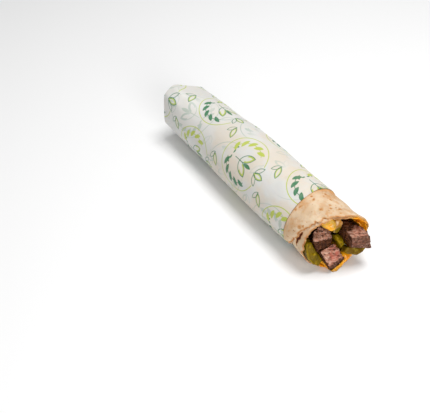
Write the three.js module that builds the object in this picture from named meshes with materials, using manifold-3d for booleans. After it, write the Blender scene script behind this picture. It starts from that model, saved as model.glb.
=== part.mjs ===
// Doner kebab wrap: a rolled flatbread filled with beef, pickles and cheese sauce,
// two thirds of it in a printed paper sleeve. Millimetres, +Z up.
// X runs along the roll from the folded paper end (x = 0) to the open mouth.
// Angles go round the roll from the top (0) over the -Y side (90) to the underside (180).

import * as THREE from 'three';
import { ConvexGeometry } from 'three/addons/geometries/ConvexGeometry.js';
import * as BufferGeometryUtils from 'three/addons/utils/BufferGeometryUtils.js';
import Module from 'manifold-3d';

const wasm = await Module();
wasm.setup();

// driving dimensions
const gap = 0.33;
const sides = 56;
const axisHeight = 21.6;
const paperRadius = 22.1;
const paperBelly = { reach: 1.6, from: 48, to: 85 };
const paperTaper = { reach: 0.6, from: 105, to: 157.6 };
const bend = { reach: 2.35, from: 150, to: 70 };
const paperThickness = 0.5;
const paperEnd = 157.6;
const squareLength = 42;
const bodyLengths = [8, 17, 28, squareLength, 57, 74, 92, 112, 132, 148];
const breadThickness = 1.9;
const breadEndThickness = 3;
const mouth = 184;
const mouthTongue = { angle: 80, width: 15, reach: 3 };
const mouthNotch = { angle: 9, width: 9, reach: -1.9 };
const innerLayerRadius = 22.2;
const outerLayerRadius = 23.5;
const mouthFlare = 0.6;
const dentDepth = 2.7;
const dentAngle = -45;
const dentWidth = 60;
const sagAngle = 135;
const swellStart = paperEnd + 0.3;
const swellEnd = paperEnd + 2.6;
const outerLayerFade = [-118, -168];
const outerLayerCorner = 45;
const outerLayerLast = 113;
const sauceThickness = 1.7;
const sauceSpan = [-42, -218];
const fillingStart = 8;
const fillingFront = 171;
const crumbRadius = 1.2;

// flat sides of the folded end: direction of the side and its distance from the axis
const endFacets = [
  { angle: 86, distance: 21.8 },
  { angle: -26, distance: 19.5 },
  { angle: 32.5, distance: 29 },
  { angle: 126, distance: 21 },
  { angle: 180, distance: 21.6 },
  { angle: -90, distance: 17 },
  { angle: -135, distance: 23 },
];
const facetSharpness = 14;
const mouthShares = [0, 0.25, 0.5, 0.75, 1];

const radians = (degrees) => (degrees * Math.PI) / 180;
const lerp = THREE.MathUtils.lerp;
const smooth = THREE.MathUtils.smoothstep;
const wrapAngle = (angle) => angle - 360 * Math.round(angle / 360);

function around(count) {
  return Array.from({ length: count }, (_, i) => 180 - (360 * i) / count);
}

function along(x, change) {
  const share = THREE.MathUtils.clamp((x - change.from) / (change.to - change.from), 0, 1);
  return change.reach * share * share * (3 - 2 * share);
}

// a point on the roll, never lower than the given floor; its papered half is bent a little to +Y
function onRoll(x, angle, radius, floor) {
  const y = along(x, bend) - radius * Math.sin(radians(angle));
  const z = axisHeight + radius * Math.cos(radians(angle));
  return [x, y, Math.max(z, floor)];
}

// outer radius of the paper: creased flat sides at the folded end, round along the rest
function paperOuter(x, angle) {
  let sum = 0;
  for (const facet of endFacets) {
    const facing = Math.max(0, Math.cos(radians(angle - facet.angle)));
    sum += (facing / facet.distance) ** facetSharpness;
  }
  const creased = sum ** (-1 / facetSharpness);
  const round = paperRadius + along(x, paperBelly) - along(x, paperTaper);
  return lerp(creased, round, smooth(x, 0, squareLength));
}

function bulgeAt(angle, bulge) {
  return bulge.reach * Math.exp(-(((angle - bulge.angle) / bulge.width) ** 2));
}

// the ragged mouth: it leans back on the -Y side, where the wrap is bitten shorter
function rim(angle) {
  const a = radians(angle);
  const lean = -6.6 * Math.sin(a) + 0.3 * Math.cos(a);
  const wave = 2.2 * Math.cos(2 * a) - 1.1 * Math.sin(2 * a);
  const ragged = 0.4 * Math.sin(7 * a + 1) + 0.25 * Math.sin(13 * a);
  return mouth + lean + wave + ragged + bulgeAt(angle, mouthTongue) + bulgeAt(angle, mouthNotch);
}

// the free edge of the outer layer: along the mouth over the top, then back to the paper
function outerLayerEdge(angle) {
  const past = Math.max(0, angle - outerLayerCorner) / 77;
  const ragged = 0.35 * Math.sin(9 * radians(angle) + 2);
  const drawnBack = 2.1 * smooth(angle, 10, 40) * (1 - smooth(angle, 66, 84));
  return rim(Math.min(angle, outerLayerCorner)) - 0.5 - drawnBack - 18.6 * past ** 1.1 + ragged;
}

// stations between the paper and the rim, the last one the given distance short of it
function mouthX(angle, share, back) {
  return lerp(swellEnd, rim(angle) - back, share);
}

function swell(x, length) {
  return smooth(x, swellStart, swellStart + length);
}

// the wrap is squeezed in on its upper +Y side and opens again towards the rim
function dent(x, angle) {
  const side = Math.min(1, Math.abs(angle - dentAngle) / dentWidth);
  const depth = 0.6 * smooth(x, paperEnd, paperEnd + 1.5) + 0.4 * smooth(x, 171, 180);
  const reopened = 1 - 0.27 * smooth(x, mouth - 1, mouth + 5);
  return dentDepth * depth * reopened * Math.cos((side * Math.PI) / 2) ** 2;
}

function breadFloor(x) {
  return (paperThickness + gap) * (1 - smooth(x, swellStart, swellStart + 0.5));
}

// the inner layer hangs wider on the lower -Y side, where nothing covers it
function innerLayerOuter(x, angle) {
  const hidden = paperOuter(x, angle) - paperThickness - gap;
  const sag = Math.max(0, Math.cos(radians(angle - sagAngle))) ** 2;
  const hang = lerp(-1.1, 0.9, smooth(x, paperEnd + 2, mouth - 5));
  const open = innerLayerRadius + sag * hang - dent(x, angle);
  return lerp(hidden, open, swell(x, 2.3));
}

function outerLayerOuter(x, angle) {
  const open = outerLayerRadius + mouthFlare * smooth(x, mouth - 12, mouth) - dent(x, angle);
  const full = lerp(innerLayerRadius, open, swell(x, 0.6));
  const fade = smooth(-angle, -outerLayerFade[0], -outerLayerFade[1]);
  return lerp(full, innerLayerOuter(x, angle) - 0.5, fade);
}

function breadInner(x, angle) {
  return innerLayerOuter(x, angle) - breadThickness;
}

// building closed meshes

function closedGeometry(points, triangles) {
  let volume = 0;
  for (const [i, j, k] of triangles) {
    const a = new THREE.Vector3(...points[i]);
    const b = new THREE.Vector3(...points[j]);
    const c = new THREE.Vector3(...points[k]);
    volume += a.dot(b.cross(c));
  }
  const facing = volume > 0 ? triangles : triangles.map(([i, j, k]) => [i, k, j]);
  const geometry = new THREE.BufferGeometry();
  geometry.setAttribute('position', new THREE.Float32BufferAttribute(points.flat(), 3));
  geometry.setIndex(facing.flat());
  return geometry;
}

// skins a run of rings with equal counts, closed by a point at each end
function skinRings(first, rings, last) {
  const count = rings[0].length;
  const points = [first, ...rings.flat(), last];
  const at = (ring, i) => 1 + ring * count + (i % count);
  const triangles = [];
  for (let i = 0; i < count; i += 1) {
    triangles.push([0, at(0, i + 1), at(0, i)]);
    triangles.push([points.length - 1, at(rings.length - 1, i), at(rings.length - 1, i + 1)]);
    for (let ring = 0; ring < rings.length - 1; ring += 1) {
      triangles.push([at(ring, i), at(ring, i + 1), at(ring + 1, i)]);
      triangles.push([at(ring, i + 1), at(ring + 1, i + 1), at(ring + 1, i)]);
    }
  }
  return closedGeometry(points, triangles);
}

// a bent slab from a grid of outer points and the grid of inner points behind it
function skinSlab(outer, inner) {
  const rows = outer.length;
  const columns = outer[0].length;
  const points = [...outer.flat(), ...inner.flat()];
  const front = (i, j) => i * columns + j;
  const back = (i, j) => rows * columns + front(i, j);
  const triangles = [];
  const quad = (a, b, c, d) => triangles.push([a, b, c], [a, c, d]);
  for (let i = 0; i < rows - 1; i += 1) {
    for (let j = 0; j < columns - 1; j += 1) {
      quad(front(i, j), front(i, j + 1), front(i + 1, j + 1), front(i + 1, j));
      quad(back(i, j), back(i + 1, j), back(i + 1, j + 1), back(i, j + 1));
    }
    quad(front(i + 1, 0), back(i + 1, 0), back(i, 0), front(i, 0));
    quad(front(i, columns - 1), back(i, columns - 1), back(i + 1, columns - 1), front(i + 1, columns - 1));
  }
  for (let j = 0; j < columns - 1; j += 1) {
    quad(front(0, j), back(0, j), back(0, j + 1), front(0, j + 1));
    quad(front(rows - 1, j + 1), back(rows - 1, j + 1), back(rows - 1, j), front(rows - 1, j));
  }
  return closedGeometry(points, triangles);
}

function toSolid(geometry) {
  const bare = geometry.clone();
  bare.deleteAttribute('normal');
  bare.deleteAttribute('uv');
  const merged = BufferGeometryUtils.mergeVertices(bare, 1e-4);
  return new wasm.Manifold(
    new wasm.Mesh({
      numProp: 3,
      vertProperties: new Float32Array(merged.attributes.position.array),
      triVerts: new Uint32Array(merged.index.array),
    }),
  );
}

function toGeometry(solid) {
  const mesh = solid.getMesh();
  const geometry = new THREE.BufferGeometry();
  geometry.setAttribute('position', new THREE.Float32BufferAttribute(mesh.vertProperties, 3));
  geometry.setIndex(new THREE.Uint32BufferAttribute(mesh.triVerts, 1));
  return geometry;
}

// a chunk with the given corners, its edges rounded; grow makes the cutter that clears it
function chunk(corners, rounding, grow = 0) {
  const centre = new THREE.Vector3();
  for (const corner of corners) {
    centre.addScaledVector(new THREE.Vector3(...corner), 1 / corners.length);
  }
  const ball = new THREE.IcosahedronGeometry(rounding + grow, 0).attributes.position;
  const points = [];
  for (const corner of corners) {
    const inset = new THREE.Vector3(...corner);
    inset.addScaledVector(centre.clone().sub(inset).normalize(), rounding);
    for (let i = 0; i < ball.count; i += 1) {
      points.push(new THREE.Vector3().fromBufferAttribute(ball, i).add(inset));
    }
  }
  return toSolid(new ConvexGeometry(points));
}

// front outline of a slice, repeated behind it
function sliceCorners(outline, depth) {
  return [...outline, ...outline.map(([x, y, z]) => [x - depth[0], y - depth[1], z - depth[2]])];
}

// paper sleeve

function paperSleeve() {
  const angles = around(sides);
  const lengths = [1.6, ...bodyLengths, paperEnd];
  const ring = (x, size, inset, floor) =>
    angles.map((a) => onRoll(x, a, size * (paperOuter(x, a) - inset), floor));
  const outer = lengths.map((x) => ring(x, 1, 0, 0));
  const inner = lengths.map((x) => ring(x, 1, paperThickness, paperThickness)).reverse();
  const endFace = [ring(0.25, 0.35, 0, 0), ring(0, 0.75, 0, 0), ring(0.15, 0.95, 0.2, 0.3)];
  const insideEnd = [ring(paperThickness + 0.3, 0.75, paperThickness, paperThickness)];
  const back = onRoll(0.3, 0, 0, 0);
  const inside = onRoll(paperThickness + 0.3, 0, 0, 0);
  return toSolid(skinRings(back, [...endFace, ...outer, ...inner, ...insideEnd], inside));
}

// flatbread

const hiddenLengths = [3.8, ...bodyLengths];

function innerLayer() {
  const angles = around(sides);
  const ring = (x, inset, floor, size = 1) =>
    angles.map((a) => onRoll(x, a, size * (innerLayerOuter(x, a) - inset), breadFloor(x) + floor));
  const openRing = (share, back, inset, floor) =>
    angles.map((a) => {
      const x = mouthX(a, share, back);
      return onRoll(x, a, innerLayerOuter(x, a) - inset, floor);
    });
  const backPlane = paperThickness + 0.3 + gap;
  const rings = [
    ring(backPlane, 0, 0, 0.7),
    ring(backPlane + 0.9, 0.8, 0.8),
    ...hiddenLengths.map((x) => ring(x, 0, 0)),
    ring(swellStart, 0, 0),
    ring(swellStart + 0.6, 0, 0),
    ...mouthShares.map((share) => openRing(share, 0.6, 0, 0)),
    openRing(1, 0.1, 0.45, 0.45),
    openRing(1, 0, breadThickness - 0.45, breadThickness - 0.45),
    ...mouthShares.map((share) => openRing(1 - share, 0.6, breadThickness, breadThickness)),
    ...bodyLengths.toReversed().map((x) => ring(x, breadThickness, breadThickness)),
    ring(backPlane + breadEndThickness, breadThickness + 0.8, breadThickness),
  ];
  const outside = onRoll(backPlane, 0, 0, 0);
  const inside = onRoll(backPlane + breadEndThickness, 0, 0, 0);
  return toSolid(skinRings(outside, rings, inside));
}

function outerLayer() {
  const columns = 52;
  const shares = [0, 0.012, 0.03, 0.3, 0.55, 0.8, 0.95];
  const angles = Array.from({ length: columns + 1 }, (_, j) =>
    lerp(outerLayerLast, outerLayerFade[1], j / columns),
  );
  const place = (angle, share, edgeInset, weld) => {
    const x = lerp(swellStart, outerLayerEdge(angle), share);
    const radius = weld ? innerLayerOuter(x, angle) - 0.6 : outerLayerOuter(x, angle) - edgeInset;
    return onRoll(x, angle, radius, weld ? 0.6 : 0);
  };
  const outer = shares.map((share) => angles.map((a) => place(a, share, 0, false)));
  outer.push(angles.map((a) => place(a, 1, 0.45, false)));
  const inner = [...shares, 1].map((share) => angles.map((a) => place(a, share, 0, true)));
  return toSolid(skinSlab(outer, inner));
}

// everything from a little inside the bread's inner wall outwards, up to just past the rim
function wallCutter() {
  const angles = around(sides);
  const lengths = [fillingStart - 6, ...bodyLengths, swellStart];
  const inner = (x, a) => onRoll(x, a, breadInner(x, a) - gap, breadFloor(x) + breadThickness + gap);
  const outer = (x, a) => onRoll(x, a, 40, -40);
  const rimX = (a) => rim(a) + gap;
  const rows = [
    ...lengths.map((x) => angles.map((a) => inner(x, a))),
    ...mouthShares.map((share) => angles.map((a) => inner(mouthX(a, share, -gap), a))),
    angles.map((a) => outer(rimX(a), a)),
    angles.map((a) => outer(fillingStart - 6, a)),
  ];
  const count = sides;
  const points = rows.flat();
  const triangles = [];
  for (let r = 0; r < rows.length; r += 1) {
    for (let i = 0; i < count; i += 1) {
      const next = (r + 1) % rows.length;
      const a = r * count + i;
      const b = r * count + ((i + 1) % count);
      const c = next * count + i;
      const d = next * count + ((i + 1) % count);
      triangles.push([a, b, c], [b, d, c]);
    }
  }
  return toSolid(closedGeometry(points, triangles));
}

// filling pieces at the mouth

const beefCorners = {
  beef_upper: [
    [179.5, -17, 27], [182, -1.6, 23.5], [173.8, 2.8, 23.8], [172, -6, 27.6], [174.8, -13.4, 27.3],
    [181.5, -14.3, 17.6], [180.5, -4, 14], [170, -12, 14], [169, 0, 13],
  ],
  beef_lower: [
    [183, -13, 18], [181.5, 0, 16.3], [188.5, 5.4, 4.8], [189.8, -8.3, 3.8], [187.5, 6.3, 1.6],
    [188.8, -7, 1.2], [173.4, -11.4, 11.2], [171.1, -1.9, 10.7], [178, 3.5, 3], [180, -7.6, 3],
  ],
  beef_right: [
    [192.8, 4.8, 27.3], [196, 16.1, 26.8], [197.5, 19.3, 14], [192.5, 5.7, 17.8], [187.5, 18.5, 25.4],
    [186, 3.2, 31.3], [180, 6.5, 33], [181, 17.5, 25.5], [184, 4.2, 21.9], [178, 6, 22],
    [179, 17, 16], [190, 16, 13.5],
  ],
};

const pickleCorners = {
  pickle_left: sliceCorners(
    [
      [177, -19.5, 25], [179, -20.3, 19], [180.8, -19.8, 13.5], [182.5, -17, 8.5],
      [183.5, -12.5, 5.2], [182.8, -10.5, 7.5], [180.8, -11.3, 13.5], [177.7, -15, 23],
    ],
    [6, 0, 0],
  ),
  pickle_strip: sliceCorners(
    [
      [180, 1.6, 22.2], [180, 4.1, 22], [183, 6.2, 19.2],
      [186, 8.3, 12.1], [186, 4.5, 11.8], [184, 2.8, 18.7],
    ],
    [3, 0, 1.5],
  ),
  pickle_right: sliceCorners(
    [
      [189.5, 4.5, 16.5], [191, 9, 15.5], [195, 16.5, 13], [195, 15, 11],
      [194, 10, 9.8], [191, 6, 10.5], [189.5, 3.2, 13.5],
    ],
    [4, 0, 2],
  ),
  pickle_top: sliceCorners(
    [
      [182, -0.1, 38.4], [182, 2.2, 37.9], [182, 5.4, 32.8], [182, 5.6, 29.1], [182, 3.1, 27.7],
      [181.2, 1.8, 24.8], [181.2, -0.4, 26.2], [181.4, -0.6, 29.4],
    ],
    [6, 0, 0],
  ),
};

const cheeseCorners = sliceCorners(
  [
    [178, -9.1, 38.2], [178.5, -6.1, 39.3], [180, -2, 38.4], [182, 0.1, 33.7], [182, -0.6, 31.9],
    [182, -3.1, 30.5], [181.5, -4.1, 31], [180, -5.5, 33.2], [178, -8.1, 35],
  ],
  [14, 0, 0],
);

const dripCorners = [
  [180, -10, 4.2], [180, 9, 4.2], [187, -9, 3.4], [186.5, 8.5, 3], [190.8, -5.8, 1.7], [191, -3.2, 1.1],
  [190, 1.8, 1.2], [188, 6, 1.5], [190.4, -6.8, 0.3], [191.3, -3.4, 0.3], [189.8, 2, 0.3],
  [188.9, 8, 2.6], [188.6, 12.4, 3.4], [188.6, 12, 5.2], [186.5, 12, 6],
  [187, 6, 0.3], [184, -8, 0.3], [184, 7, 0.3],
];

// sauce that lines the bread: thick underneath, thin at both edges of its span
function sauceLining(grow) {
  const columns = 26;
  const angles = Array.from({ length: columns + 1 }, (_, j) =>
    lerp(sauceSpan[0] + grow * 3, sauceSpan[1] - grow * 3, j / columns),
  );
  const place = (angle, x, depth) => {
    const outward = grow > 0 ? grow : 0;
    const radius = breadInner(x, wrapAngle(angle)) - gap - depth + (depth === 0 ? outward : 0);
    const floor = breadFloor(x) + breadThickness + gap + depth * 0.9 - (depth === 0 ? outward : 0);
    return onRoll(x, angle, radius, floor);
  };
  const depthAt = (angle) => {
    const share = (angle - sauceSpan[0]) / (sauceSpan[1] - sauceSpan[0]);
    const body = Math.sin(Math.PI * THREE.MathUtils.clamp(share, 0.06, 0.94)) ** 0.6;
    return sauceThickness * body + grow;
  };
  const row = (xOf, depthOf) => angles.map((a) => place(a, xOf(wrapAngle(a)), depthOf(a)));
  const layer = (depthOf) => [
    ...bodyLengths.map((x, i) => row(() => (i === 0 ? x - grow : x), depthOf)),
    ...mouthShares.map((share) => row((a) => mouthX(a, share, 1.6 - grow), depthOf)),
  ];
  return toSolid(skinSlab(layer(() => 0), layer(depthAt)));
}

function fillingCore() {
  const angles = around(28);
  const front = (a) => fillingFront + 1.6 * Math.sin(3 * radians(a)) + 1.1 * Math.cos(5 * radians(a));
  const ring = (x, inset) => angles.map((a) => onRoll(x, a, breadInner(x, a) - gap - inset, 3.4));
  const frontRing = angles.map((a) => {
    const x = front(a);
    return onRoll(x, a, breadInner(x, a) - gap - 1, 3.6);
  });
  const cap = angles.map((a) => onRoll(front(a) + 1, a, 9, 3.6));
  return toSolid(
    skinRings(
      onRoll(fillingStart - 0.6, 0, 0, 0),
      [ring(fillingStart - 0.6, 2), ...[...bodyLengths, swellEnd].map((x) => ring(x, 0.05)), frontRing, cap],
      onRoll(fillingFront + 2.5, 0, 0, 0),
    ),
  );
}

// assembly

const bread = innerLayer().add(outerLayer());
const wall = wallCutter();

const pieces = {};
const cutters = {};

function addPiece(name, corners, rounding) {
  let solid = chunk(corners, rounding).subtract(wall);
  for (const cutter of Object.values(cutters)) {
    solid = solid.subtract(cutter);
  }
  pieces[name] = solid;
  cutters[name] = chunk(corners, rounding, gap);
}

for (const name of ['beef_right', 'beef_lower', 'beef_upper']) {
  addPiece(name, beefCorners[name], crumbRadius);
}
for (const name of ['pickle_right', 'pickle_left', 'pickle_strip', 'pickle_top']) {
  addPiece(name, pickleCorners[name], 0.7);
}
addPiece('cheese_top', cheeseCorners, 0.9);

let sauce = sauceLining(0).add(chunk(dripCorners, 0.25).subtract(wall));
let core = fillingCore().subtract(sauceLining(gap));
for (const cutter of Object.values(cutters)) {
  sauce = sauce.subtract(cutter);
  core = core.subtract(cutter);
}
core = core.subtract(chunk(dripCorners, 0.25, gap));

function largestBody(solid) {
  const bodies = solid.decompose();
  return bodies.reduce((best, body) => (body.volume() > best.volume() ? body : best));
}

const colours = {
  paper: { color: 0xe9e7df, roughness: 0.55 },
  bread: { color: 0xe0c3a0, roughness: 0.8 },
  beef: { color: 0x8a5a4c, roughness: 0.6 },
  core: { color: 0x5a382d, roughness: 0.65 },
  pickle: { color: 0x8a8228, roughness: 0.35 },
  cheese: { color: 0xe89a2c, roughness: 0.25 },
};

function materialFor(key) {
  return new THREE.MeshStandardMaterial({ metalness: 0, ...colours[key] });
}

const roll = new THREE.Group();

function addMesh(name, solid, key) {
  const mesh = new THREE.Mesh(toGeometry(largestBody(solid)), materialFor(key));
  mesh.name = name;
  roll.add(mesh);
}

addMesh('paper_sleeve', paperSleeve(), 'paper');
addMesh('flatbread', bread, 'bread');
addMesh('cheese_sauce', sauce, 'cheese');
addMesh('beef_filling', core, 'core');
for (const [name, solid] of Object.entries(pieces)) {
  addMesh(name, solid, name.split('_')[0]);
}

// the origin is the bottom centre of the whole wrap
const bounds = new THREE.Box3().setFromObject(roll);
roll.position.set(-(bounds.min.x + bounds.max.x) / 2, -(bounds.min.y + bounds.max.y) / 2, -bounds.min.z);

const wrap = new THREE.Group();
wrap.add(roll);

export default wrap;
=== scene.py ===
import math

import bpy
from mathutils import Matrix, Vector, noise


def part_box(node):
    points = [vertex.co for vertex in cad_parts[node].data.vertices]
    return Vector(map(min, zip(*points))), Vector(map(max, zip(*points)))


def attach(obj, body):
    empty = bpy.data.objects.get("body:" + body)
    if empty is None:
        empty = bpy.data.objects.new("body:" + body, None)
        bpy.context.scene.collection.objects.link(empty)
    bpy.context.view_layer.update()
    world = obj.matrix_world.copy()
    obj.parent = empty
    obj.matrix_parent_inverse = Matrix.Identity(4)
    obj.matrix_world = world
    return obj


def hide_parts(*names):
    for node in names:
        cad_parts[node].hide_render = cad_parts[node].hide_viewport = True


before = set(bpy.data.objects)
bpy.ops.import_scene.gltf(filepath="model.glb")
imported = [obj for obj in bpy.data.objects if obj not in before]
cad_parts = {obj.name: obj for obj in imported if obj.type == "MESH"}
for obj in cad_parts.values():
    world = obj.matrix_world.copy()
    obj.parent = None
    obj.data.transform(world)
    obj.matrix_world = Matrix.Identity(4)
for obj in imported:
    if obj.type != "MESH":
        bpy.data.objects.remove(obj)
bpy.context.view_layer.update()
bpy.ops.object.select_all(action="DESELECT")

mm = 0.001
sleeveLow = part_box("paper_sleeve")[0]
foldX = sleeveLow[0]  # folded end of the paper

roll = {
    "axisHeight": 21.6,
    "paperRadius": 22.1,
    # changes along the roll: how many mm, where from and where to
    "belly": (1.6, 48.0, 85.0),
    "taper": (-0.6, 105.0, 157.6),
    "bend": (2.35, 150.0, 70.0),
    "paperGap": 0.83,  # from the paper's outside to the bread's
    "paperEnd": 157.6,
    "squareLength": 42.0,
    "mouth": 184.0,
    "tongue": (80.0, 15.0, 3.0),  # angle, width and reach in mm
    "notch": (9.0, 9.0, -1.9),
    "innerLayer": 22.2,
    "outerLayer": 23.5,
    "mouthFlare": 0.6,
    "dentDepth": 2.7,
    "dentAngle": -45.0,
    "dentWidth": 60.0,
    "sagAngle": 135.0,
    "outerCorner": 45.0,
    "outerLast": 113.0,
    "outerFade": (-118.0, -168.0),
}
# flat sides of the folded end: direction and distance from the axis
endFacets = [(86, 21.8), (-26, 19.5), (32.5, 29.0), (126, 21.0), (180, 21.6), (-90, 17.0), (-135, 23.0)]


# The roll's shape. x is in mm from the folded end, angles go from the top over the -Y side.

def lerp(a, b, t):
    return a + (b - a) * t


def smooth(value, low, high):
    t = min(1.0, max(0.0, (value - low) / (high - low)))
    return t * t * (3 - 2 * t)


def wrapAngle(angle):
    return angle - 360 * round(angle / 360)


def changeAlong(x, change):
    reach, start, end = change
    return reach * smooth(x, start, end)


def paperOuter(x, angle, sharpness=14):
    total = 0.0
    for facing, distance in endFacets:
        total += (max(0.0, math.cos(math.radians(angle - facing))) / distance) ** sharpness
    full = roll["paperRadius"] + changeAlong(x, roll["belly"]) + changeAlong(x, roll["taper"])
    return lerp(total ** (-1 / sharpness), full, smooth(x, 0, roll["squareLength"]))


# The sleeve's box ends on its widest place on the -Y side.
widest = max(paperOuter(x, 90) - changeAlong(x, roll["bend"]) for x in range(8, 157))
axisY = sleeveLow[1] + widest * mm


def onRoll(x, angle, radius, floor=0.0):
    a = math.radians(angle)
    height = max(roll["axisHeight"] + radius * math.cos(a), floor)
    across = changeAlong(x, roll["bend"]) - radius * math.sin(a)
    return Vector((foldX + x * mm, axisY + across * mm, height * mm))


def rollPlace(place):
    x = (place.x - foldX) / mm
    y, z = (place.y - axisY) / mm - changeAlong(x, roll["bend"]), place.z / mm - roll["axisHeight"]
    return x, math.degrees(math.atan2(-y, z)), math.hypot(y, z)


def rim(angle):
    a = math.radians(angle)
    lean = -6.6 * math.sin(a) + 0.3 * math.cos(a)
    wave = 2.2 * math.cos(2 * a) - 1.1 * math.sin(2 * a)
    ragged = 0.4 * math.sin(7 * a + 1) + 0.25 * math.sin(13 * a)
    whole = roll["mouth"] + lean + wave + ragged
    for at, width, reach in (roll["tongue"], roll["notch"]):
        whole += reach * math.exp(-((angle - at) / width) ** 2)
    return whole


def outerEdge(angle):
    past = max(0.0, angle - roll["outerCorner"]) / 77
    ragged = 0.35 * math.sin(9 * math.radians(angle) + 2)
    drawnBack = 2.1 * smooth(angle, 10, 40) * (1 - smooth(angle, 66, 84))
    return rim(min(angle, roll["outerCorner"])) - 0.5 - drawnBack - 18.6 * past ** 1.1 + ragged


def swell(x, length):
    start = roll["paperEnd"] + 0.3
    return smooth(x, start, start + length)


def dent(x, angle):
    side = min(1.0, abs(wrapAngle(angle) - roll["dentAngle"]) / roll["dentWidth"])
    depth = 0.6 * smooth(x, roll["paperEnd"], roll["paperEnd"] + 1.5) + 0.4 * smooth(x, 171, 180)
    reopened = 1 - 0.27 * smooth(x, roll["mouth"] - 1, roll["mouth"] + 5)
    return roll["dentDepth"] * depth * reopened * math.cos(side * math.pi / 2) ** 2


def innerLayerOuter(x, angle):
    hidden = paperOuter(x, angle) - roll["paperGap"]
    sag = max(0.0, math.cos(math.radians(angle - roll["sagAngle"]))) ** 2
    hang = lerp(-1.1, 0.9, smooth(x, roll["paperEnd"] + 2, roll["mouth"] - 5))
    return lerp(hidden, roll["innerLayer"] + sag * hang - dent(x, angle), swell(x, 2.3))


def outerLayerOuter(x, angle):
    spread = roll["mouthFlare"] * smooth(x, roll["mouth"] - 12, roll["mouth"])
    beside = smooth(x, roll["paperEnd"] + 0.2, roll["paperEnd"] + 0.6)
    full = lerp(roll["innerLayer"] + 0.3, roll["outerLayer"] + spread - dent(x, angle), beside)
    start, end = roll["outerFade"]
    return lerp(full, innerLayerOuter(x, angle) - 0.5, smooth(-angle, -start, -end))


def lumps(place, size, seed):
    return noise.noise(place / (size * mm) + Vector((seed, seed * 1.7, -seed)))


def strands(place, along, size, seed):
    return lumps(place - along * (place.dot(along) * 0.85), size, seed)


# Helpers for meshes.

def paintMark(piece, name, value):
    layer = piece.data.attributes.new(name, "FLOAT", "POINT")
    for vertex in piece.data.vertices:
        layer.data[vertex.index].value = value(vertex)


# A grid whose every vertex goes where shape(across, along) says; marks are painted by the same two shares.
def shapedGrid(name, columns, rows, shape, marks):
    bpy.ops.mesh.primitive_grid_add(x_subdivisions=columns, y_subdivisions=rows, size=2, calc_uvs=True)
    piece = bpy.context.object
    piece.name = name
    piece.data.name = name
    spots = [((vertex.co.x + 1) / 2, (vertex.co.y + 1) / 2) for vertex in piece.data.vertices]
    for mark, value in marks.items():
        paintMark(piece, mark, lambda vertex: value(*spots[vertex.index]))
    for vertex, spot in zip(piece.data.vertices, spots):
        vertex.co = shape(*spot)
    return piece


def recalculateNormals(piece):
    bpy.context.view_layer.objects.active = piece
    bpy.ops.object.mode_set(mode="EDIT")
    bpy.ops.mesh.select_all(action="SELECT")
    bpy.ops.mesh.remove_doubles(threshold=0.00001)
    bpy.ops.mesh.normals_make_consistent(inside=False)
    bpy.ops.object.mode_set(mode="OBJECT")


def applyModifiers(piece):
    bpy.context.view_layer.objects.active = piece
    for modifier in list(piece.modifiers):
        bpy.ops.object.modifier_apply(modifier=modifier.name)


def joinInto(piece, other):
    bpy.ops.object.select_all(action="DESELECT")
    other.select_set(True)
    piece.select_set(True)
    bpy.context.view_layer.objects.active = piece
    bpy.ops.object.join()


# Moves every vertex along its normal by push(vertex), in mm.
def sculpt(piece, push):
    moves = [vertex.normal * (push(vertex) * mm) for vertex in piece.data.vertices]
    for vertex, move in zip(piece.data.vertices, moves):
        vertex.co += move


def finishPiece(piece, material, slot, *nodes, crease=180):
    bpy.ops.object.select_all(action="DESELECT")
    piece.select_set(True)
    bpy.context.view_layer.objects.active = piece
    bpy.ops.object.shade_smooth_by_angle(angle=math.radians(crease))
    piece.select_set(False)
    piece.data.materials.clear()
    piece.data.materials.append(material)
    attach(piece, "root")
    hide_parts(*nodes)


# Helpers for materials.

def newMaterial(name):
    material = bpy.data.materials.new(name)
    material.use_nodes = True
    return material, material.node_tree, material.node_tree.nodes["Principled BSDF"]


def feed(tree, socket, value):
    if isinstance(value, bpy.types.NodeSocket):
        tree.links.new(value, socket)
    elif isinstance(value, (tuple, list)) and len(value) == 3 and socket.type == "RGBA":
        socket.default_value = (*value, 1)
    else:
        socket.default_value = value


def calc(tree, operation, *values):
    node = tree.nodes.new("ShaderNodeMath")
    node.operation = operation
    for socket, value in zip(node.inputs, values):
        feed(tree, socket, value)
    return node.outputs[0]


def blend(tree, factor, first, second):
    node = tree.nodes.new("ShaderNodeMix")
    node.data_type = "RGBA"
    feed(tree, node.inputs[0], factor)
    feed(tree, node.inputs[6], first)
    feed(tree, node.inputs[7], second)
    return node.outputs[2]


def ramp(tree, value, low, high):
    node = tree.nodes.new("ShaderNodeMapRange")
    node.interpolation_type = "SMOOTHSTEP"
    feed(tree, node.inputs["Value"], value)
    node.inputs["From Min"].default_value = low
    node.inputs["From Max"].default_value = high
    return node.outputs["Result"]


def times(tree, first, second):
    return calc(tree, "MULTIPLY", first, second)


# Object coordinates, stretched along X or along the axis that the turn takes X to.
def objectPlace(tree, stretch=1.0, turn=(0, 0, 0)):
    place = tree.nodes.new("ShaderNodeTexCoord")
    mapping = tree.nodes.new("ShaderNodeMapping")
    mapping.vector_type = "TEXTURE"
    mapping.inputs["Scale"].default_value = (stretch, 1, 1)
    mapping.inputs["Rotation"].default_value = turn
    tree.links.new(place.outputs["Object"], mapping.inputs["Vector"])
    return mapping.outputs["Vector"]


def noiseValue(tree, place, scale, detail=2.0, distortion=0.0):
    node = tree.nodes.new("ShaderNodeTexNoise")
    tree.links.new(place, node.inputs["Vector"])
    node.inputs["Scale"].default_value = scale
    node.inputs["Detail"].default_value = detail
    node.inputs["Distortion"].default_value = distortion
    return node.outputs["Fac"]


def mark(tree, name):
    node = tree.nodes.new("ShaderNodeAttribute")
    node.attribute_name = name
    return node.outputs["Fac"]


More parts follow.
